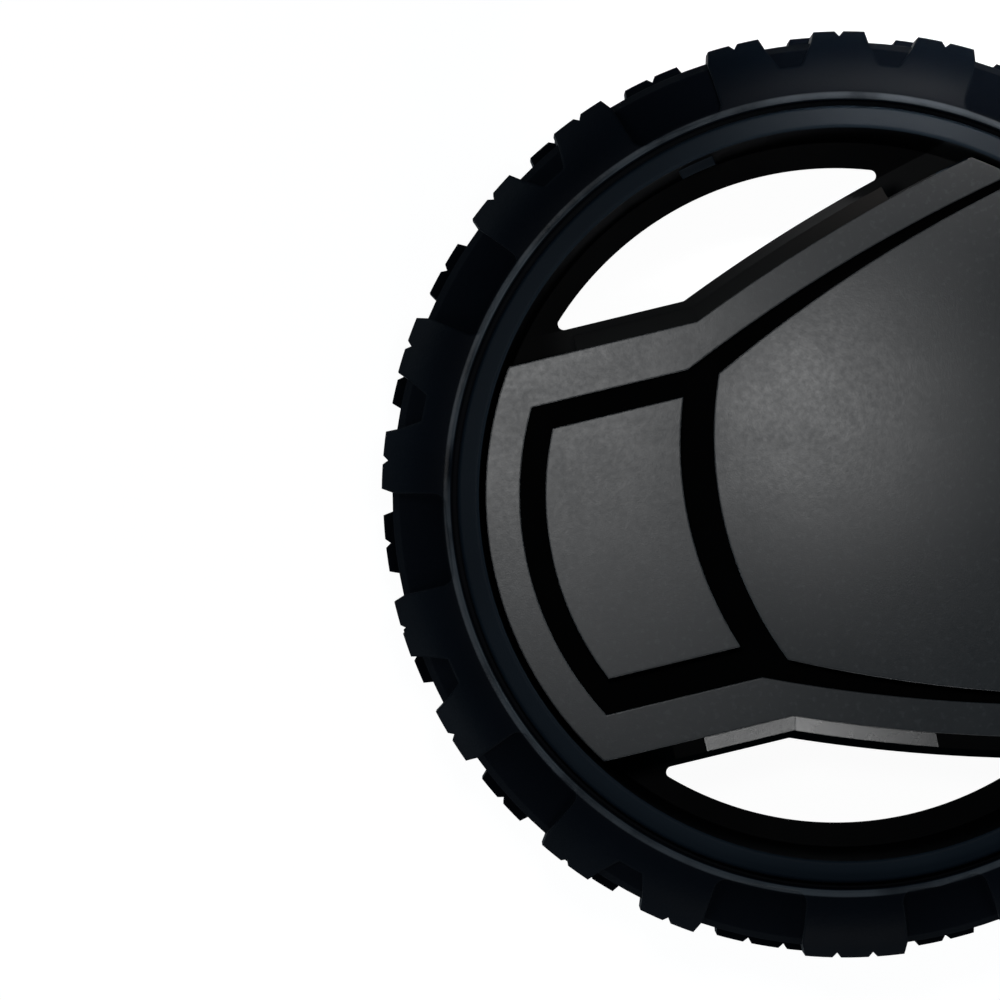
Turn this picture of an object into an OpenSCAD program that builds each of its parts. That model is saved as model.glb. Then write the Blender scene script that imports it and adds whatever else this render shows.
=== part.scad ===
// Wheel of a pressure washer: a soft lugged tyre on a moulded rim with two
// through openings, closed in front by a relief cover and bushed for a plain axle.
// The wheel lies on its back: +Z runs along the axle to the cover, and the origin
// is the centre of the axle bore's mouth in the rear plane. The cover's arm points
// to -X, and the rim and the cover's outline are mirrored about the X axis.

/* [Tyre] */
// Diameter over the tread lugs
tyre_d = 198; // [194:1:212]
// Overall width of the tyre
tyre_w = 46; // [44:1:52]
// Radial distance from the visible bead lip to the lug tops
tyre_wall = 14.9; // [14:0.1:16.5]
// Radius of the rounded sidewall
sidewall_r = 17; // [16:0.5:20]
// Height of the lugs over the tread floor
lug_h = 2.3; // [1.5:0.1:3]
// Depth of the V notch that splits a lug into knobs
knob_notch = 1.1; // [0.4:0.1:1.3]
// How deep the scoops lie below the raised sidewall blocks
scoop_depth = 1.2; // [0.6:0.1:1.8]
// Radial length of the scoops, from the tread floor towards the bead
scoop_l = 10.9; // [8:0.1:11]
// Radial length of the notches between the lugs of one block
notch_l = 4.9; // [3:0.1:6.5]
// Turn of the rear row of lugs against the front row, in degrees
rear_turn = -10.8; // [-18:0.1:18]

/* [Rim] */
// Radial width of the visible rim flange
flange_w = 4.7; // [4:0.1:5.5]
// Open groove between the flange and the tyre's bead lip
bead_gap = 1.2; // [0.8:0.1:1.6]
// How far the tyre's seat lies below the flange's outer edge
seat_step = 2.4; // [1.6:0.1:2.8]
// Thickness of the flanges
flange_t = 3; // [2.5:0.1:4]
// How far the flanges lie inside the tyre's width
flange_inset = 1.5; // [1:0.1:2.5]
// Draft of the barrel's inner wall, from flange to web
barrel_draft = 1.8; // [1:0.1:2.5]

/* [Web and openings] */
// Height of the web's rear face over the rear plane
web_z = 14; // [12:0.5:16]
// Thickness of the web
web_t = 4; // [3:0.5:5]
// Width of the web's lip between the barrel and an opening
lip_w = 5.3; // [4:0.1:6]
// How far the web stands out past the cover's edge at an opening
ledge_w = 5.4; // [4.6:0.1:6.5]
// Rounding of the openings' corners
opening_round = 1.3; // [1:0.1:3]
// How far the openings' outer edge is centred off the axle, towards the arm
opening_shift = 0.8; // [0:0.1:1.5]
// Thickness of the spoke walls and ribs
rib_t = 2.2; // [1.8:0.1:2.8]
// Angle between two rear ribs, in degrees
rib_pitch = 20; // [15, 20, 30]

/* [Cover outline] */
// Half width of the cover's arm
arm_half = 43.3; // [42:0.05:45]
// Position of the bend, where the arm opens into the flared part
bend_x = -22; // [-24:0.5:-20]
// Slope of the flared edge at the bend, in degrees
flare = 22.8; // [22:0.1:24]
// Radius of the flared edge
flare_r = 360; // [340:5:420]
// Gap between the cover and the rim flange
cover_gap = 1.4; // [1.2:0.1:2.2]

/* [Cover relief] */
// How far the cover's face lies below the flange's face
cover_drop = 1.7; // [1:0.1:2.5]
// Depth of the channels
channel_depth = 6; // [4:0.1:7]
// Width of the frame band along the arm
arm_band = 9.55; // [9:0.05:10.5]
// Width of the frame band along the flared edges
flare_band = 7; // [6.5:0.1:7.5]
// Width of the frame band beside the rim
rim_band = 7.35; // [6:0.05:8]
// Mean width of the channels above and below the pad
side_channel = 6.4; // [5:0.1:7]
// How far the pad sits off the cover's middle, towards +Y
pad_shift = 1; // [0:0.1:1.5]
// Width of the channel between the pad and the rim-side band
rim_channel = 5.45; // [4.5:0.05:6.5]
// Distance of the pad's inner edge from the axle
pad_reach = 33.9; // [33:0.1:36]
// Radius of the pad's inner edge and of the centre panel's near edge
pad_edge_r = 80; // [70:1:100]
// Distance of the centre panel's near edge from the axle
panel_reach = 26.6; // [25:0.1:28]
// Half width of the centre panel at its two near corners
panel_half = 31.4; // [30:0.1:32]
// Slope of the panel's long edges at those corners, in degrees
panel_flare = 26.5; // [25:0.1:27]
// Radius of the panel's long edges
panel_edge_r = 300; // [280:5:320]
// Wall thickness of the cover
cover_wall = 1.8; // [1.4:0.1:2.2]
// Width of the sloping skirt beside an opening, seen from the front
skirt_w = 3.2; // [2.4:0.1:3.8]
// How far the skirt slopes down over that width
skirt_drop = 2.3; // [1.6:0.1:3]

/* [Hub] */
// Diameter of the axle
axle_d = 12; // [10:0.5:13]
// Radial running clearance on the axle
axle_clearance = 0.05; // [0.02:0.01:0.1]
// Wall thickness of the bush
bush_wall = 2.45; // [2:0.05:3]
// Length of the bush and of the axle bore
bush_l = 30; // [28:0.5:31]
// Wall thickness of the hub around the bush
hub_wall = 6.6; // [5:0.1:7]
// Thickness of the retaining clip
clip_t = 1.2; // [0.8:0.1:1.6]

/* [Hidden] */
$fn = 96;

// Radii, from the tread inwards
lug_r = tyre_d / 2;
tread_r = lug_r - lug_h;
lug_foot_r = tread_r - 0.6;
bead_r = lug_r - tyre_wall;
crown_r = bead_r + 1.9;
flange_r = bead_r - bead_gap;
seat_r = flange_r - seat_step;
rim_in_r = flange_r - flange_w;
web_r = rim_in_r - barrel_draft;
opening_r = web_r - lip_w;
cover_r = rim_in_r - cover_gap;

// Heights over the rear plane
mid_z = tyre_w / 2;
rim_z0 = flange_inset;
rim_z1 = tyre_w - flange_inset;
web_top = web_z + web_t;
cover_top = rim_z1 - cover_drop;
channel_z = cover_top - channel_depth;
cover_z0 = channel_z - cover_wall;

// Tread pattern: each raised block has a start angle and a list of lugs. Blocks of
// two lugs follow each other at one pitch. Where the halves of the mould meet, there
// is one block of three lugs and, opposite it, one that is a single wide lug.
two_lugs = [[0, 8.3], [14.6, 22.9]];
three_lugs = [[0, 8.3], [13.8, 21.3], [27, 34.6]];
wide_lug = [[0, 13.5]];
block_pitch = 35.8;
first_run = 107.6;
second_run = 276.4;
blocks = concat(
    [[first_run - 48, three_lugs]],
    [for (i = [0 : 3]) [first_run + i * block_pitch, two_lugs]],
    [[second_run - 25.5, wide_lug]],
    [for (i = [0 : 3]) [second_run + i * block_pitch, two_lugs]]
);
knob_angle = 4.3;
knob_spread = 2.4;
lug_lean = 0.5;
notch_taper = 1.4;
scoop_round = 2.6;
shoulder_facet = 1.5;
lip_chamfer = 0.6;
groove_w = 2;
clear_r = lug_r + 4;

// Moulded details
edge_round = 0.8;
spoke_out = 0.4;
rib_dip = 5;
spoke_rib_pitch = 60;
hook_w = 8;
hook_t = 1.8;
hook_z = 26.5;
hook_play = 0.2;
arm_hook_x = -45;
flare_hooks = [3, 26];
skirt_ends = [-48.5, 23];
skirt_step = 0.3;
skirt_seat = 0.15;
skirt_sink = 0.08;
skirt_t = 1.4;
skirt_lip = 3.2;
mitre = [1.2, 1.4];
rim_tab_angle = 100.6;
rim_tab_l = 8;

// Hub
bush_bore_r = axle_d / 2 + axle_clearance;
bush_r = bush_bore_r + bush_wall;
bush_flange_w = 3.4;
bush_flange_r = bush_r + bush_flange_w;
bush_flange_t = 2;
hub_r = bush_r + hub_wall;
cup_wall = 2.8;
cup_r = hub_r - cup_wall;
cup_h = 3.2;
clip_r = cup_r - 0.1;
clip_grip = 0.6;
clip_grip_r = axle_d / 2 - clip_grip;
boss_r = clip_r - 3;

function polar(r, a) = [r * cos(a), r * sin(a)];

// Centre of a flared edge that leaves a point at a slope, with the material below it
function edge_centre(at, slope, r) = [at.x + r * sin(slope), at.y - r * cos(slope)];
flare_centre = edge_centre([bend_x, arm_half], flare, flare_r);
panel_axis_x = pad_edge_r - panel_reach;
panel_corner_x = panel_axis_x - sqrt(pow(pad_edge_r, 2) - pow(panel_half, 2));
panel_centre = edge_centre([panel_corner_x, panel_half], panel_flare, panel_edge_r);

// Angle at which a flared edge, grown outwards, passes over a position along the arm
function flare_angle(x, grow) = acos((x - flare_centre.x) / (flare_r + grow));

module mirrored() {
    children();
    mirror([0, 1, 0]) children();
}

// A rectangle with true round corners
module round_rect(low, high, r) {
    translate([low.x + r, low.y]) square([high.x - low.x - 2 * r, high.y - low.y]);
    translate([low.x, low.y + r]) square([high.x - low.x, high.y - low.y - 2 * r]);
    for (x = [low.x + r, high.x - r], y = [low.y + r, high.y - r])
        translate([x, y]) circle(r = r);
}

// The space between two circles that mirror each other about the X axis
module lens(centre, r) {
    intersection() {
        translate(centre) circle(r = r);
        translate([centre.x, -centre.y]) circle(r = r);
    }
}

// The cover's outline, grown outwards and cut off at a radius
module shield(grow, reach) {
    intersection() {
        circle(r = reach);
        union() {
            translate([-reach, -arm_half - grow]) square([reach, 2 * (arm_half + grow)]);
            lens(flare_centre, flare_r + grow);
        }
    }
}

// Tyre

// Height of the sidewall over the rear plane at a radius, seen from the front
function sidewall_z(r, drop) =
    tyre_w - sidewall_r + sqrt(pow(sidewall_r - drop, 2) - pow(r - crown_r, 2));

// Both sides of the section: drawn once in front and once mirrored to the rear
module both_sides() {
    children();
    translate([0, tyre_w]) mirror([0, 1]) children();
}

// The tyre's section with round sidewalls, sunk by a drop and cut off at a radius
module tyre_section(drop, outer_r) {
    intersection() {
        translate([seat_r, 0]) square([outer_r - seat_r, tyre_w]);
        union() {
            translate([seat_r, sidewall_r]) square([lug_r - seat_r, tyre_w - 2 * sidewall_r]);
            both_sides() translate([crown_r, sidewall_r]) circle(r = sidewall_r - drop);
        }
    }
}

module full_section() {
    pocket_z = rim_z1 - flange_t;
    lip_z = sidewall_z(bead_r, 0);
    difference() {
        tyre_section(0, lug_r);
        both_sides() {
            translate([seat_r - 1, pocket_z]) square([bead_r - seat_r + 1, tyre_w]);
            polygon([[bead_r - 1, lip_z - lip_chamfer - 1], [bead_r - 1, lip_z + 1],
                [bead_r + lip_chamfer + 1, lip_z + 1]]);
        }
    }
}

// The lower surface that shows in the scoops and notches and between the lugs
module floor_section() {
    facet_r = tread_r - shoulder_facet;
    facet_z = sidewall_z(facet_r, scoop_depth);
    difference() {
        tyre_section(scoop_depth, tread_r);
        both_sides() polygon([[facet_r, facet_z], [tread_r + 1, facet_z - 2 * shoulder_facet - 2],
            [tread_r + 1, tyre_w], [facet_r, tyre_w]]);
    }
}

// Two points on a lug's leaning flank, outside the tread and just under its floor
function flank(a, side) =
    [polar(clear_r, a + side * lug_lean * (clear_r - tread_r) / lug_h), polar(lug_foot_r, a)];

// A notch between two lugs of one block, from the end of one to the start of the next
module lug_notch(a0, a1) {
    r = tread_r - notch_l;
    high = flank(a1, 1);
    polygon(concat(flank(a0, -1), [polar(r, a0 + notch_taper), polar(r, a1 - notch_taper)],
        [high[1], high[0]]));
}

// A scoop between two blocks, with a round inner end
module scoop(a0, a1) {
    r = tread_r - scoop_l;
    high = flank(a1, 1);
    offset(r = scoop_round, $fn = 24) offset(delta = -scoop_round)
        difference() {
            polygon(concat(flank(a0, -1), [polar(r - 3, a0), polar(r - 3, a1)],
                [high[1], high[0]]));
            circle(r = r);
        }
}

// A V notch in a lug's top
module knob_split(a) {
    polygon([polar(lug_r - knob_notch, a), polar(clear_r, a - knob_spread),
        polar(clear_r, a + knob_spread)]);
}

// All that is cut away round one row of lugs, seen along the axle
module row_gaps() {
    for (i = [0 : len(blocks) - 1]) {
        start = blocks[i][0];
        lugs = blocks[i][1];
        last = len(lugs) - 1;
        next = i < len(blocks) - 1 ? blocks[i + 1][0] : blocks[0][0] + 360;
        scoop(start + lugs[last][1], next);
        for (j = [0 : last]) {
            wide = lugs[j][1] - lugs[j][0];
            knobs = round(wide / knob_angle);
            for (k = [1 : knobs - 1])
                knob_split(start + lugs[j][0] + wide * k / knobs);
            if (j < last)
                lug_notch(start + lugs[j][1], start + lugs[j + 1][0]);
        }
    }
}

module tyre() {
    color([0.07, 0.07, 0.09])
    difference() {
        rotate_extrude() full_section();
        difference() {
            union() {
                translate([0, 0, mid_z - groove_w / 4]) linear_extrude(mid_z + groove_w)
                    row_gaps();
                translate([0, 0, -groove_w]) linear_extrude(mid_z + groove_w * 5 / 4)
                    rotate(rear_turn) row_gaps();
                translate([0, 0, mid_z - groove_w / 2]) linear_extrude(groove_w)
                    difference() {
                        circle(r = clear_r);
                        circle(r = tread_r - 1);
                    }
            }
            rotate_extrude() floor_section();
        }
    }
}

// Wheel body

// Both through openings, seen along the axle
module openings() {
    offset(r = opening_round, $fn = 48) offset(delta = -opening_round)
        difference() {
            translate([-opening_shift, 0]) circle(r = opening_r, $fn = 240);
            shield(ledge_w, lug_r, $fn = 720);
        }
}

module barrel_section() {
    round_rect([rim_in_r, rim_z1 - flange_t], [flange_r, rim_z1], edge_round);
    round_rect([rim_in_r, rim_z0], [flange_r, rim_z0 + flange_t], edge_round);
    polygon([[rim_in_r, rim_z1 - 1], [web_r, web_top], [web_r, web_z],
        [rim_in_r, rim_z0 + 1], [seat_r, rim_z0 + 1], [seat_r, rim_z1 - 1]]);
}

// Ribs that run out from the hub, at a pitch
module spokes(pitch, t) {
    for (a = [0 : pitch : 359])
        rotate(a) translate([bush_r + 1, -t / 2]) square([seat_r - bush_r - 1.5, t]);
}

// The rear ribs' envelope: deep at the hub and the barrel, and shallow in between
module rib_envelope() {
    rotate_extrude() polygon([[bush_r + 1, 1], [hub_r + 2, 1], [hub_r + 16, 1 + rib_dip],
        [web_r - 12, 1 + rib_dip], [web_r + 1, rim_z0 + 1], [web_r + 1, web_z + 1],
        [bush_r + 1, web_z + 1]]);
}

module rear_ribs() {
    ring_r = (hub_r + opening_r) / 2;
    intersection() {
        translate([0, 0, -1]) linear_extrude(web_z + 1.5) {
            intersection() {
                shield(ledge_w - 1.2, seat_r - 0.5);
                spokes(rib_pitch, rib_t);
            }
            difference() {
                shield(ledge_w - 1, web_r + 0.5);
                shield(ledge_w - 1 - rib_t, seat_r);
            }
            difference() {
                circle(r = ring_r + rib_t / 2);
                circle(r = ring_r - rib_t / 2);
            }
        }
        rib_envelope();
    }
}

// The walls in front of the web that carry the cover
module spoke_walls() {
    translate([0, 0, web_top - 0.5]) linear_extrude(cover_z0 - web_top + 0.5) {
        difference() {
            shield(spoke_out, web_r + 0.5);
            shield(spoke_out - rib_t, seat_r);
        }
        intersection() {
            shield(spoke_out - rib_t / 2, web_r + 0.5);
            spokes(spoke_rib_pitch, rib_t);
        }
    }
}

// Children stand at each hook's place on the cover's edge, with +X outwards
module at_hooks() {
    mirrored() {
        translate([arm_hook_x, arm_half, 0]) rotate(90) children();
        for (x = flare_hooks)
            translate(flare_centre) rotate(flare_angle(x, 0))
                translate([flare_r, 0, 0]) children();
    }
}

module hook_windows() {
    at_hooks() translate([spoke_out - rib_t - 0.5, -hook_w / 2 - 0.5, hook_z])
        cube([rib_t + 1, hook_w + 1, 3.2]);
}

// A small moulded catch on the barrel's wall, in the upper opening
module rim_tab() {
    sweep = rim_tab_l / rim_in_r * 180 / PI;
    rotate(rim_tab_angle - sweep / 2) rotate_extrude(angle = sweep)
        polygon([[rim_in_r + 0.5, cover_z0 - 1], [rim_in_r - 2.4, cover_z0 + 1.4],
            [rim_in_r - 2.4, cover_z0 + 2.4], [rim_in_r + 0.5, cover_z0 + 2.4]]);
}

module wheel_body() {
    color([0.09, 0.095, 0.1])
    difference() {
        union() {
            rotate_extrude() barrel_section();
            translate([0, 0, web_z]) linear_extrude(web_t) difference() {
                circle(r = web_r + 0.5);
                openings();
            }
            rear_ribs();
            spoke_walls();
            rim_tab();
            cylinder(r = hub_r, h = bush_l + cup_h);
        }
        translate([0, 0, -1]) cylinder(r = bush_r, h = bush_l + cup_h + 2);
        translate([0, 0, -1]) cylinder(r = bush_flange_r, h = bush_flange_t + 1);
        translate([0, 0, bush_l]) cylinder(r = cup_r, h = cover_z0 - bush_l + 1);
        hook_windows();
    }
}

// Front cover

// The sunk field inside the frame band, grown outwards
module field(grow) {
    intersection() {
        circle(r = cover_r - rim_band + grow);
        translate([-cover_r, -arm_half + arm_band - grow])
            square([cover_r, 2 * (arm_half - arm_band + grow)]);
    }
    intersection() {
        lens(flare_centre, flare_r - flare_band + grow);
        translate([bend_x - 7, -cover_r]) square([2 * cover_r, 2 * cover_r]);
    }
}

module pad(grow) {
    half = arm_half - arm_band - side_channel + grow;
    difference() {
        intersection() {
            circle(r = cover_r - rim_band - rim_channel + grow);
            translate([-cover_r, pad_shift - half]) square([cover_r, 2 * half]);
        }
        translate([pad_edge_r - pad_reach, 0]) circle(r = pad_edge_r - grow);
    }
}

module panel(grow) {
    intersection() {
        circle(r = cover_r + grow);
        translate([panel_axis_x, 0]) circle(r = pad_edge_r + grow);
        lens(panel_centre, panel_edge_r + grow);
    }
}

// The raised faces: frame band, pad and centre panel
module raised_faces(grow) {
    difference() {
        shield(grow, cover_r + grow);
        field(-grow);
    }
    pad(grow);
    panel(grow);
}

// Section of the skirt, from the cover's edge outwards
module skirt_section() {
    top = cover_top - skirt_step;
    foot = top - skirt_drop;
    polygon([[-cover_wall / 2, top], [-skirt_seat, top], [skirt_w, foot], [skirt_w, foot - skirt_lip],
        [skirt_w - skirt_t, foot - skirt_lip], [skirt_w - skirt_t, foot - skirt_t / 2],
        [-2 * skirt_seat, top - 1.5 * skirt_t], [-cover_wall / 2, top - 1.5 * skirt_t]]);
}

module skirt() {
    from = flare_angle(skirt_ends[1], skirt_w);
    to = flare_angle(bend_x - mitre[1], 0);
    translate([skirt_ends[0], arm_half, 0]) rotate([90, 0, 90])
        linear_extrude(bend_x + mitre[0] - skirt_ends[0]) skirt_section();
    translate(flare_centre) rotate(from) rotate_extrude(angle = to - from)
        translate([flare_r - skirt_sink, -skirt_sink]) skirt_section();
}

// A snap hook: a tongue inside the spoke wall with a barb in its window
module hook() {
    out = spoke_out - rib_t - hook_play;
    translate([0, hook_w / 2, 0]) rotate([90, 0, 0]) linear_extrude(hook_w) {
        polygon([[out, hook_z], [out + 1.2, hook_z + 1.8], [out + 1.2, hook_z + 2.6],
            [out, hook_z + 2.8], [out, cover_top - cover_wall + 0.5],
            [out - hook_t, cover_top - cover_wall + 0.5], [out - hook_t, hook_z]]);
        translate([out - 0.5, cover_z0 + 0.6])
            square([cover_wall, cover_top - cover_wall - cover_z0]);
    }
}

module front_cover() {
    color([0.27, 0.275, 0.29]) {
        difference() {
            union() {
                translate([0, 0, cover_z0]) linear_extrude(cover_wall) shield(0, cover_r);
                translate([0, 0, channel_z - 0.5]) linear_extrude(channel_depth + 0.5)
                    raised_faces(0);
            }
            translate([0, 0, cover_z0 - 1])
                linear_extrude(cover_top - cover_z0 - cover_wall + 1) raised_faces(-cover_wall);
        }
        mirrored() skirt();
        at_hooks() hook();
        translate([0, 0, bush_l + clip_t]) difference() {
            cylinder(r = boss_r, h = cover_top - cover_wall / 2 - bush_l - clip_t);
            translate([0, 0, -1])
                cylinder(r = boss_r - cover_wall, h = cover_top - cover_wall - bush_l - clip_t + 1);
        }
    }
}

// Hub parts

module axle_bush() {
    color([0.75, 0.74, 0.7])
    rotate_extrude() difference() {
        union() {
            translate([bush_bore_r, 0]) square([bush_flange_r - bush_bore_r, bush_flange_t]);
            translate([bush_bore_r, 0]) square([bush_wall, bush_l]);
        }
        polygon([[bush_r - 0.8, bush_l + 0.1], [bush_r + 0.1, bush_l - 1],
            [bush_r + 1, bush_l + 0.1]]);
    }
}

module retaining_clip() {
    fingers = 4;
    color([0.7, 0.72, 0.75])
    translate([0, 0, bush_l]) linear_extrude(clip_t) difference() {
        circle(r = clip_r);
        circle(r = clip_grip_r);
        for (i = [0 : fingers - 1]) rotate(45 + i * 360 / fingers) {
            translate([0, -1]) square([clip_r - 3.5, 2]);
            translate([clip_r - 3.5, 0]) circle(r = 1.5);
        }
    }
}

tyre();
wheel_body();
front_cover();
axle_bush();
retaining_clip();
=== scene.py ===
"""Looks for the pressure washer wheel: materials, studio light and camera."""

import math

import bmesh
import bpy
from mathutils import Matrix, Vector


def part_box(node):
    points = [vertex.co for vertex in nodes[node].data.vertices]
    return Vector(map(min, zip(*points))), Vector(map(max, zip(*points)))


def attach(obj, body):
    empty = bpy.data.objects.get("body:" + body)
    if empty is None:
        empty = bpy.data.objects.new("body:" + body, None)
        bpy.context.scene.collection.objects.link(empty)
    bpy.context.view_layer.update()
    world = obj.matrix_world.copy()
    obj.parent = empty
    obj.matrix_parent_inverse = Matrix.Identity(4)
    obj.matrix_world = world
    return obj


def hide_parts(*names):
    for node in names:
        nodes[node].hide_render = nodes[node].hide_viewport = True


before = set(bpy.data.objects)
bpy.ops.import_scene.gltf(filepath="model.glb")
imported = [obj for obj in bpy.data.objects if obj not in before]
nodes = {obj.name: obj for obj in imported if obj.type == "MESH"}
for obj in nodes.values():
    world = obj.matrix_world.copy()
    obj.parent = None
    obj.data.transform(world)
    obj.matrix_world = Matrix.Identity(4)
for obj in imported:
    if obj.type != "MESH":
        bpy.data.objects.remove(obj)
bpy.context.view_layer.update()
scene = bpy.context.scene
scene.view_settings.view_transform = "Standard"

# The photograph's right is turned by this angle from the wheel's +X, about the axle
PHOTO_TURN = math.radians(-13.6)


def photo_point(right, up, height):
    """A point given along the photograph's right and up, from the axle, in metres."""
    c, s = math.cos(PHOTO_TURN), math.sin(PHOTO_TURN)
    return Vector((right * c - up * s, right * s + up * c, height))


# Where the finishes change, in metres from the axle, as the part has it.
# A pair of values is where a change begins and where it is complete.

# Front cover: a straight arm towards -X, which flares on each side along a large arc
ARM_HALF = 0.0433
FLARE_CENTRE = Vector((0.1175, -0.2886))
FLARE_R = 0.360
BAND_WIDTH = 0.0090
PANEL_CENTRE = 0.0534
PANEL_R = 0.0802
PAD_END_X = -0.0300
PAD_END_R = 0.0645
PAD_MID_Y = 0.0010
PAD_HALF = 0.0276
FLANK_HEIGHT = 0.0080
# The lower flank keeps its glossy finish only between these X; beyond them it is painted black as
# painted shade
LIT_FLANK_X = (-0.0415, 0.0068)
EDGE_GAP = 0.00005
FACE_GAP = 0.0001

# Wheel body
FLANGE_IN_R = 0.0780
FLANGE_THICK = 0.0020
SEAT_R = 0.0800
CATCH_R = 0.0700
CATCH_Z = 0.0300
REAR_Z = 0.0135
LEDGE_WIDTH = (0.0056, 0.0053)
LEDGE_X = (-0.0560, -0.0470)

# Tyre: CROWN is the middle of the sidewall's arc, from the axle and from the middle plane
MID_Z = 0.0230
CROWN = (0.0860, 0.0060)
LIP_IN = (0.0842, 0.0845)
LIP_OUT = (0.0859, 0.0855)
WALL = (0.0856, 0.0864)
SCOOP_R = (0.0166, 0.0161)
TREAD_R = (0.0930, 0.0950)
TREAD_LEAN = (0.35, 0.15)


# Node helpers

class Shader:
    """A material's node tree, built from short calls."""

    def __init__(self, name):
        self.material = bpy.data.materials.new(name)
        self.material.use_nodes = True
        self.tree = self.material.node_tree
        self.tree.nodes.clear()
        coordinates = self.add("ShaderNodeTexCoord").outputs
        self.place, self.facing = coordinates["Object"], coordinates["Normal"]

    def add(self, kind, inputs=None, **settings):
        made = self.tree.nodes.new(kind)
        for key, value in settings.items():
            setattr(made, key, value)
        for key, value in (inputs or {}).items():
            self.set(made, key, value)
        return made

    def set(self, made, key, value):
        if isinstance(value, bpy.types.NodeSocket):
            self.tree.links.new(value, made.inputs[key])
        else:
            made.inputs[key].default_value = value

    def surface(self, shader):
        out = self.add("ShaderNodeOutputMaterial")
        self.tree.links.new(shader.outputs[0], out.inputs["Surface"])
        return self.material

    def math(self, operation, a, b=0.0, clamp=False):
        made = self.add("ShaderNodeMath", {0: a, 1: b}, operation=operation)
        made.use_clamp = clamp
        return made.outputs[0]

    def vector(self, operation, inputs, output="Vector"):
        made = self.add("ShaderNodeVectorMath", inputs, operation=operation)
        return made.outputs[output]

    def ramp(self, value, low, high):
        """0 at low and 1 at high, with a smooth change between them."""
        inputs = {"Value": value, "From Min": low, "From Max": high}
        made = self.add("ShaderNodeMapRange", inputs, interpolation_type="SMOOTHSTEP")
        return made.outputs["Result"]

    def noise(self, scale, detail, rough=0.55, stretch=None):
        place = self.place
        if stretch:
            place = self.add("ShaderNodeMapping", {"Vector": place, "Scale": stretch}).outputs[0]
        inputs = {"Vector": place, "Scale": scale, "Detail": detail, "Roughness": rough}
        return self.add("ShaderNodeTexNoise", inputs).outputs["Fac"]

    def cloud(self, scale=26, detail=4):
        """Large soft patches, from 0 to 1."""
        return self.ramp(self.noise(scale, detail), 0.3, 0.7)

    def mix(self, factor, a, b):
        made = self.add("ShaderNodeMix", data_type="RGBA")
        self.set(made, 0, factor)
        self.set(made, 6, a)
        self.set(made, 7, b)
        return made.outputs[2]

    def bump(self, height, distance, normal, strength=1.0):
        inputs = {"Height": height, "Distance": distance, "Strength": strength, "Normal": normal}
        return self.add("ShaderNodeBump", inputs).outputs[0]

    def bevel(self, radius):
        return self.add("ShaderNodeBevel", {"Radius": radius}, samples=6).outputs[0]

    def xyz(self, vector):
        parts = self.add("ShaderNodeSeparateXYZ", {0: vector}).outputs
        return parts[0], parts[1], parts[2]

    def flat_place(self):
        return self.vector("MULTIPLY", {0: self.place, 1: (1, 1, 0)})

    def reach(self):
        """Distance from the axle."""
        return self.vector("LENGTH", {0: self.flat_place()}, "Value")

    def turned(self, normal, turn):
        both = self.vector("ADD", {0: normal, 1: turn})
        return self.vector("NORMALIZE", {0: both})

    def lean(self, normal, at, curve):
        """Turns a normal outwards like a shallow dome: by a constant and by a rate per metre."""
        wide = self.vector("MULTIPLY", {0: self.place, 1: (curve, curve, 0)})
        return self.turned(normal, self.vector("ADD", {0: wide, 1: at}))

    def outwards(self, normal, amount):
        """Turns a normal away from the axle by an amount."""
        way = self.vector("NORMALIZE", {0: self.flat_place()})
        return self.turned(normal, self.vector("SCALE", {0: way, "Scale": amount}))

    def finish(self, **inputs):
        names = {"color": "Base Color", "rough": "Roughness", "normal": "Normal",
                 "metal": "Metallic", "spec": "Specular IOR Level"}
        named = {names[key]: value for key, value in inputs.items()}
        return self.surface(self.add("ShaderNodeBsdfPrincipled", named))


def rgb(r, g, b):
    return (r, g, b, 1.0)


# Materials

SPECK_COLOR = rgb(0.3, 0.3, 0.31)


def plastic(name, dark, pale, rough, grain, edge, spec=0.5, specks=0.0, mottle=0.0, dome=None,
            out=0.0):
    """Moulded plastic: a cloudy base colour, uneven gloss, fine grain and soft edges."""
    m = Shader(name)
    color = m.mix(m.cloud(), dark, pale)
    if specks:
        dots = m.ramp(m.noise(700, 3, 0.6), 0.52, 0.72)
        color = m.mix(m.math("MULTIPLY", dots, specks), color, SPECK_COLOR)
    uneven = {"Value": m.noise(85, 5, 0.6), "To Min": rough - 0.03, "To Max": rough + 0.05}
    gloss = m.add("ShaderNodeMapRange", uneven).outputs[0]
    if mottle:
        patches = m.math("SUBTRACT", m.noise(800, 2, 0.6), 0.5)
        gloss = m.math("ADD", gloss, m.math("MULTIPLY", patches, mottle))
    coarse = m.math("MULTIPLY", m.noise(1500, 2, 0.5), 0.5)
    height = m.math("ADD", m.noise(3600, 2, 0.6), coarse)
    smooth = m.bevel(edge)
    if dome:
        smooth = m.lean(smooth, *dome)
    if out:
        smooth = m.outwards(smooth, out)
    normal = m.bump(height, grain, smooth, 0.7)
    return m.finish(color=color, rough=gloss, normal=normal, spec=spec)


def clip_steel():
    m = Shader("clip_steel")
    brushed = m.noise(300, 3, 0.6, stretch=(1, 14, 1))
    color = m.mix(brushed, rgb(0.42, 0.43, 0.45), rgb(0.6, 0.61, 0.63))
    normal = m.bump(brushed, 0.00002, m.bevel(0.0002))
    return m.finish(color=color, rough=0.35, normal=normal, metal=1.0)


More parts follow.
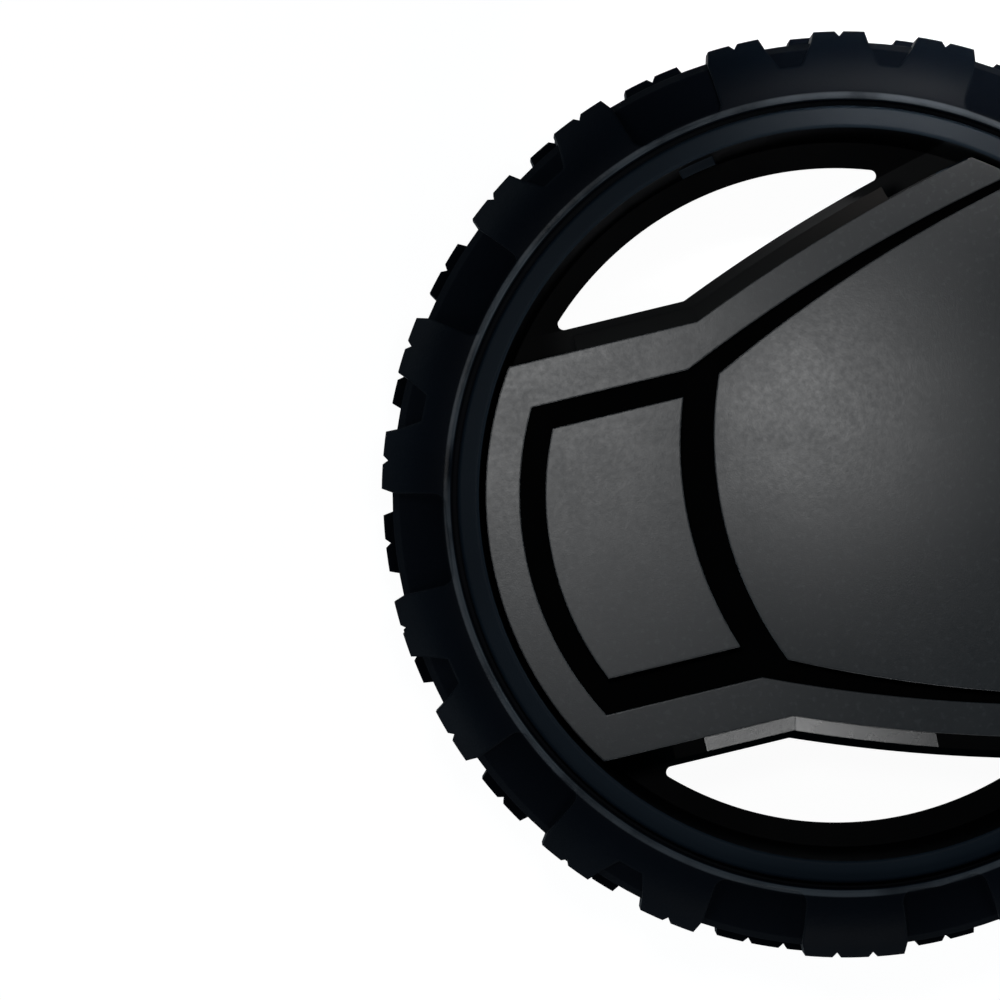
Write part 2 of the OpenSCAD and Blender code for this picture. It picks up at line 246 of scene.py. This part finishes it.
def tyre_rubber():
    """Matte navy-black rubber, with painted light and shade: a painted highlight along the bead
    lip, painted shade that darkens the scoops, and upright tread faces painted paler as if lit from
    the side.
    """
    m = Shader("tyre_rubber")
    reach = m.reach()
    lip = m.math("MULTIPLY", m.ramp(reach, *LIP_IN), m.ramp(reach, *LIP_OUT))
    wall = m.ramp(reach, *WALL)
    upright = m.ramp(m.math("ABSOLUTE", m.xyz(m.facing)[2]), *TREAD_LEAN)

    # The scoops lie under the sidewall's arc; their darker colour is painted shade
    high = m.math("ABSOLUTE", m.math("SUBTRACT", m.xyz(m.place)[2], MID_Z))
    across, along = m.math("SUBTRACT", reach, CROWN[0]), m.math("SUBTRACT", high, CROWN[1])
    arc = m.add("ShaderNodeCombineXYZ", {0: across, 1: along}).outputs[0]
    below = m.vector("LENGTH", {0: arc}, "Value")
    flat_wall = m.math("SUBTRACT", wall, upright, clamp=True)
    scoop = m.math("MULTIPLY", m.ramp(below, *SCOOP_R), flat_wall)

    cloud = m.cloud(30, 5)
    color = m.mix(cloud, rgb(0.0002, 0.0014, 0.0036), rgb(0.0008, 0.0024, 0.0053))
    # Painted shade: the scoops darker than the rest of the rubber
    color = m.mix(scoop, color, rgb(0.0, 0.0010, 0.0030))
    # Painted light: the tread's upright faces are painted far paler than the rubber, as if lit from
    # the side
    tread = m.mix(cloud, rgb(0.0250, 0.0262, 0.0290), rgb(0.0370, 0.0382, 0.0410))
    color = m.mix(m.math("MULTIPLY", upright, m.ramp(reach, *TREAD_R)), color, tread)
    # Painted highlight: a pale line along the bead lip, broken up by noise
    lip_highlight = m.math("MULTIPLY", lip, m.ramp(m.noise(60, 3), 0.2, 0.6))
    color = m.mix(lip_highlight, color, rgb(0.065, 0.072, 0.081))

    uneven = m.math("MULTIPLY", m.math("SUBTRACT", m.noise(85, 5, 0.6), 0.5), 0.12)
    gloss = m.math("ADD", m.math("SUBTRACT", 0.55, m.math("MULTIPLY", lip, 0.27)), uneven)
    gloss = m.math("ADD", gloss, m.math("MULTIPLY", scoop, 0.3))
    coarse = m.math("MULTIPLY", m.noise(800, 2, 0.5), 0.7)
    height = m.math("ADD", m.noise(2400, 2, 0.6), coarse)
    smooth = m.outwards(m.bevel(0.0009), m.math("MULTIPLY", wall, 0.1))
    normal = m.bump(height, 0.00006, smooth, 0.7)
    return m.finish(color=color, rough=gloss, normal=normal, spec=0.065)


def cover_distance(m):
    """How far a point lies outside the cover's edge, seen along the axle, as off_cover() has it."""
    x, y, _ = m.xyz(m.place)
    side = m.math("ABSOLUTE", y)
    point = m.add("ShaderNodeCombineXYZ", {0: x, 1: side}).outputs[0]
    flare = m.vector("DISTANCE", {0: point, 1: (*FLARE_CENTRE, 0)}, "Value")
    arm = m.math("MAXIMUM", m.math("SUBTRACT", side, ARM_HALF), x)
    return m.math("MINIMUM", m.math("SUBTRACT", flare, FLARE_R), arm)


def rim_inside():
    """Matte inside the barrel, with painted shade that makes it near black, and painted light that
    makes the ledges beside the cover a little paler.
    """
    m = Shader("rim_inside")
    cloud = m.cloud()
    # Painted shade: far darker than the body's own black plastic
    black = m.mix(cloud, rgb(0.0006, 0.0007, 0.0009), rgb(0.0010, 0.0011, 0.0014))
    pale = m.mix(cloud, rgb(0.017, 0.017, 0.0175), rgb(0.022, 0.022, 0.0225))
    # Painted light on the ledges beside the cover
    beside = m.ramp(cover_distance(m), *LEDGE_WIDTH)
    ledge = m.math("MULTIPLY", beside, m.ramp(m.xyz(m.place)[0], *LEDGE_X))
    gloss = m.math("ADD", 0.55, m.math("MULTIPLY", cloud, 0.1))
    normal = m.bump(m.noise(2000, 2, 0.6), 0.00005, m.bevel(0.0005), 0.7)
    return m.finish(color=m.mix(ledge, black, pale), rough=gloss, normal=normal, spec=0.07)


def cover_face(name, dome=None):
    """The cover's front, of one plastic; a dome is how its zone bulges."""
    return plastic(name, rgb(0.0165, 0.0165, 0.0170), rgb(0.0215, 0.0215, 0.0220), rough=0.31,
                   grain=0.000018, edge=0.0005, specks=0.05, mottle=0.1, dome=dome)


RIM_FINISHES = {
    "flange": plastic("rim_flange", rgb(0.0062, 0.0112, 0.0175), rgb(0.0090, 0.0150, 0.0220),
                      rough=0.5, grain=0.00004, edge=0.0005, spec=0.12, out=0.15),
    "rear": plastic("rim_rear", rgb(0.0105, 0.0110, 0.0120), rgb(0.0150, 0.0155, 0.0165),
                    rough=0.42, grain=0.00004, edge=0.0005, spec=0.4),
    # painted shade inside the barrel, painted light on its ledges
    "inside": rim_inside(),
}
COVER_FINISHES = {
    "band": cover_face("cover_band"),
    "pad": cover_face("cover_pad"),
    "panel": cover_face("cover_panel", dome=((-0.084, 0.011, 0), 1.1)),
    # Black plastic in the channels and on the cover's sides, darkened further than the body's black
    # as painted shade
    "channel": plastic("cover_channel", rgb(0.0005, 0.0005, 0.0006), rgb(0.0008, 0.0008, 0.0009),
                       rough=0.75, grain=0.00006, edge=0.0004, spec=0.05),
    # The two flanks are one plastic in two copies, coloured by side as painted light and shade: the
    # lower one dark and glossy, the upper one matte and paler
    "satin_flank": plastic("cover_flank", rgb(0.0046, 0.0045, 0.0044),
                           rgb(0.0064, 0.0063, 0.0060), rough=0.26, grain=0.00002, edge=0.0004,
                           spec=0.52),
    "matte_flank": plastic("cover_flank_matte", rgb(0.018, 0.0155, 0.0140),
                           rgb(0.022, 0.0195, 0.0180), rough=0.6, grain=0.00005, edge=0.0004,
                           spec=0.07),
}
WHOLE_NODE_FINISHES = {
    "tyre": tyre_rubber(),
    "axle_bush": plastic("bush_plastic", rgb(0.5, 0.48, 0.42), rgb(0.6, 0.58, 0.52), rough=0.38,
                         grain=0.00004, edge=0.0003),
    "retaining_clip": clip_steel(),
}


# The cover and the body are shown by skins: their own faces, with a finish for each zone

cover_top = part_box("front_cover")[1].z
rim_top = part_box("wheel_body")[1].z


def skin(node, finishes, pick, cuts=()):
    """A node's own faces again, cut at some X, each with the finish that pick() names."""
    mesh = nodes[node].data.copy()
    if cuts:
        work = bmesh.new()
        work.from_mesh(mesh)
        for x in cuts:
            bmesh.ops.bisect_plane(work, geom=work.verts[:] + work.edges[:] + work.faces[:],
                                   plane_co=(x, 0, 0), plane_no=(1, 0, 0))
        work.to_mesh(mesh)
        work.free()
    mesh.materials.clear()
    names = list(finishes)
    for name in names:
        mesh.materials.append(finishes[name])
    for face in mesh.polygons:
        face.material_index = names.index(pick(face.center, face.normal))
    piece = bpy.data.objects.new(node + "_skin", mesh)
    scene.collection.objects.link(piece)
    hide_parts(node)
    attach(piece, "root")


def off_cover(centre):
    """How far a point lies outside the cover's edge, seen along the axle."""
    side = abs(centre.y)
    flare = (Vector((centre.x, side)) - FLARE_CENTRE).length - FLARE_R
    return min(flare, max(side - ARM_HALF, centre.x))


def cover_finish(centre, _normal):
    """Flanks beside the openings, channels below the front, and the zones of the front; the flanks
    are one plastic in copies by side, as painted light and shade, with painted shade at the lower
    flank's ends.
    """
    outside = off_cover(centre)
    if outside > EDGE_GAP and centre.z > cover_top - FLANK_HEIGHT:
        # Painted light and shade by side: the upper flank gets a paler, matte copy of the flank
        # plastic
        if centre.y > 0:
            return "matte_flank"
        # Painted shade: the lower flank's ends take the near-black channel finish
        return "satin_flank" if LIT_FLANK_X[0] < centre.x < LIT_FLANK_X[1] else "channel"
    # All faces below the front get the channel finish: black plastic with painted shade
    if centre.z < cover_top - FACE_GAP:
        return "channel"
    if math.hypot(centre.x - PANEL_CENTRE, centre.y) < PANEL_R and outside < -BAND_WIDTH:
        return "panel"
    on_arm = centre.x < PAD_END_X and abs(centre.y - PAD_MID_Y) < PAD_HALF
    return "pad" if on_arm and math.hypot(centre.x, centre.y) < PAD_END_R else "band"


def rim_finish(centre, normal):
    """The front flange with its catches, the inside of the barrel, and all the rest."""
    reach = math.hypot(centre.x, centre.y)
    catch = centre.z > CATCH_Z and normal.z > 0.5 and reach > CATCH_R
    if catch or (centre.z > rim_top - FLANGE_THICK and reach > FLANGE_IN_R):
        return "flange"
    return "rear" if centre.z < REAR_Z or normal.z < -0.5 or reach > SEAT_R else "inside"


skin("front_cover", COVER_FINISHES, cover_finish, cuts=LIT_FLANK_X)
skin("wheel_body", RIM_FINISHES, rim_finish)
for node, material in WHOLE_NODE_FINISHES.items():
    for slot in nodes[node].material_slots:
        slot.material = material


# Studio: a pale floor and a world that stay white to the camera, with a faint shadow

FLOOR_SIZE = 8
FLOOR_DROP = 0.0004
FLOOR_GLOW = 1.2
FLOOR_GLOW_SHARE = 0.80
WORLD_COLOR = rgb(0.35, 0.70, 1.0)
WORLD_STRENGTH = 0.09


def floor_material():
    m = Shader("floor_white")
    paper = m.mix(m.noise(3, 3), rgb(0.78, 0.78, 0.78), rgb(0.8, 0.8, 0.8))
    matte = m.add("ShaderNodeBsdfDiffuse", {"Color": paper})
    glow = m.add("ShaderNodeEmission", {"Color": rgb(1, 1, 1), "Strength": FLOOR_GLOW})
    path = m.add("ShaderNodeLightPath").outputs
    seen = m.math("MAXIMUM", path["Is Camera Ray"], path["Is Transmission Ray"])
    share = m.math("MULTIPLY", seen, FLOOR_GLOW_SHARE)
    blend = m.add("ShaderNodeMixShader", {0: share, 1: matte.outputs[0], 2: glow.outputs[0]})
    return m.surface(blend)


def background(tree, color, strength):
    made = tree.nodes.new("ShaderNodeBackground")
    made.inputs["Color"].default_value = color
    made.inputs["Strength"].default_value = strength
    return made.outputs[0]


def studio_world():
    """White to the camera, and a dim sky blue to the wheel."""
    world = bpy.data.worlds.new("studio_world")
    world.use_nodes = True
    tree = world.node_tree
    tree.nodes.clear()
    path = tree.nodes.new("ShaderNodeLightPath").outputs
    blend = tree.nodes.new("ShaderNodeMixShader")
    tree.links.new(path["Is Camera Ray"], blend.inputs[0])
    tree.links.new(background(tree, WORLD_COLOR, WORLD_STRENGTH), blend.inputs[1])
    tree.links.new(background(tree, rgb(1, 1, 1), 1.0), blend.inputs[2])
    out = tree.nodes.new("ShaderNodeOutputWorld")
    tree.links.new(blend.outputs[0], out.inputs["Surface"])
    return world


bpy.ops.mesh.primitive_plane_add(size=FLOOR_SIZE, location=(0, 0, -FLOOR_DROP))
floor = bpy.context.object
floor.name = "studio_floor"
floor.data.materials.append(floor_material())
scene.world = studio_world()


# Lamps: the key light's reflection makes the cover's brightness. The two low lights reach
# its lower flank, the top light the tyre's upper side, and the side lights the tread.

SIDE_LIGHT_TURNS = (30, 150, 210, 330)
SIDE_LIGHT_DISTANCE = 0.8
SIDE_LIGHT_HEIGHT = 0.13
SIDE_LIGHT_COLOR = (0.80, 0.93, 1.0)


def lamp(name, place, target, size, power, spread=180, color=(1, 1, 1)):
    """A softbox; a small spread is a grid that keeps its light to a part of the wheel."""
    data = bpy.data.lights.new(name, "AREA")
    data.shape = "RECTANGLE"
    data.size, data.size_y = size
    data.energy = power
    data.color = color
    data.spread = math.radians(spread)
    made = bpy.data.objects.new(name, data)
    made.location = place
    made.rotation_euler = (target - place).to_track_quat("-Z", "Y").to_euler()
    made.visible_camera = False
    scene.collection.objects.link(made)


lamp("key_light", photo_point(-0.07, 0.036, 0.44), photo_point(-0.02, 0.0, 0.03),
     size=(0.05, 0.05), power=0.245)
lamp("low_light", photo_point(-0.120, -0.852, 0.293), photo_point(0, 0, 0.03),
     size=(0.12, 0.08), power=0.86)
lamp("low_light_right", photo_point(0.206, -0.828, 0.32), photo_point(-0.1, -0.1, 0.03),
     size=(0.12, 0.08), power=0.52)
lamp("top_light", photo_point(0.083, 0.263, 0.357), photo_point(0.024, 0.126, 0.04),
     size=(0.06, 0.06), power=0.054, spread=17)
for turn in SIDE_LIGHT_TURNS:
    angle = math.radians(turn)
    across = Vector((math.cos(angle), math.sin(angle))) * SIDE_LIGHT_DISTANCE
    lamp(f"side_light_{turn}", photo_point(across.x, across.y, SIDE_LIGHT_HEIGHT),
         photo_point(0, 0, 0.02), size=(0.35, 0.2), power=1.0, color=SIDE_LIGHT_COLOR)


# Camera: it looks straight down, and the wheel lies to the right of its axis

IMAGE_CENTRE = (-0.0737, -0.0012)
COVER_Z = 0.0428
CAMERA_HEIGHT = 1.5
FRAME_WIDTH = 0.2133
SENSOR_WIDTH = 36

camera_data = bpy.data.cameras.new("camera")
camera_data.sensor_width = SENSOR_WIDTH
camera_data.lens = SENSOR_WIDTH * CAMERA_HEIGHT / FRAME_WIDTH
camera = bpy.data.objects.new("camera", camera_data)
camera.location = photo_point(*IMAGE_CENTRE, COVER_Z + CAMERA_HEIGHT)
camera.rotation_euler = (0, 0, PHOTO_TURN)
scene.collection.objects.link(camera)
scene.camera = camera

bpy.context.view_layer.update()
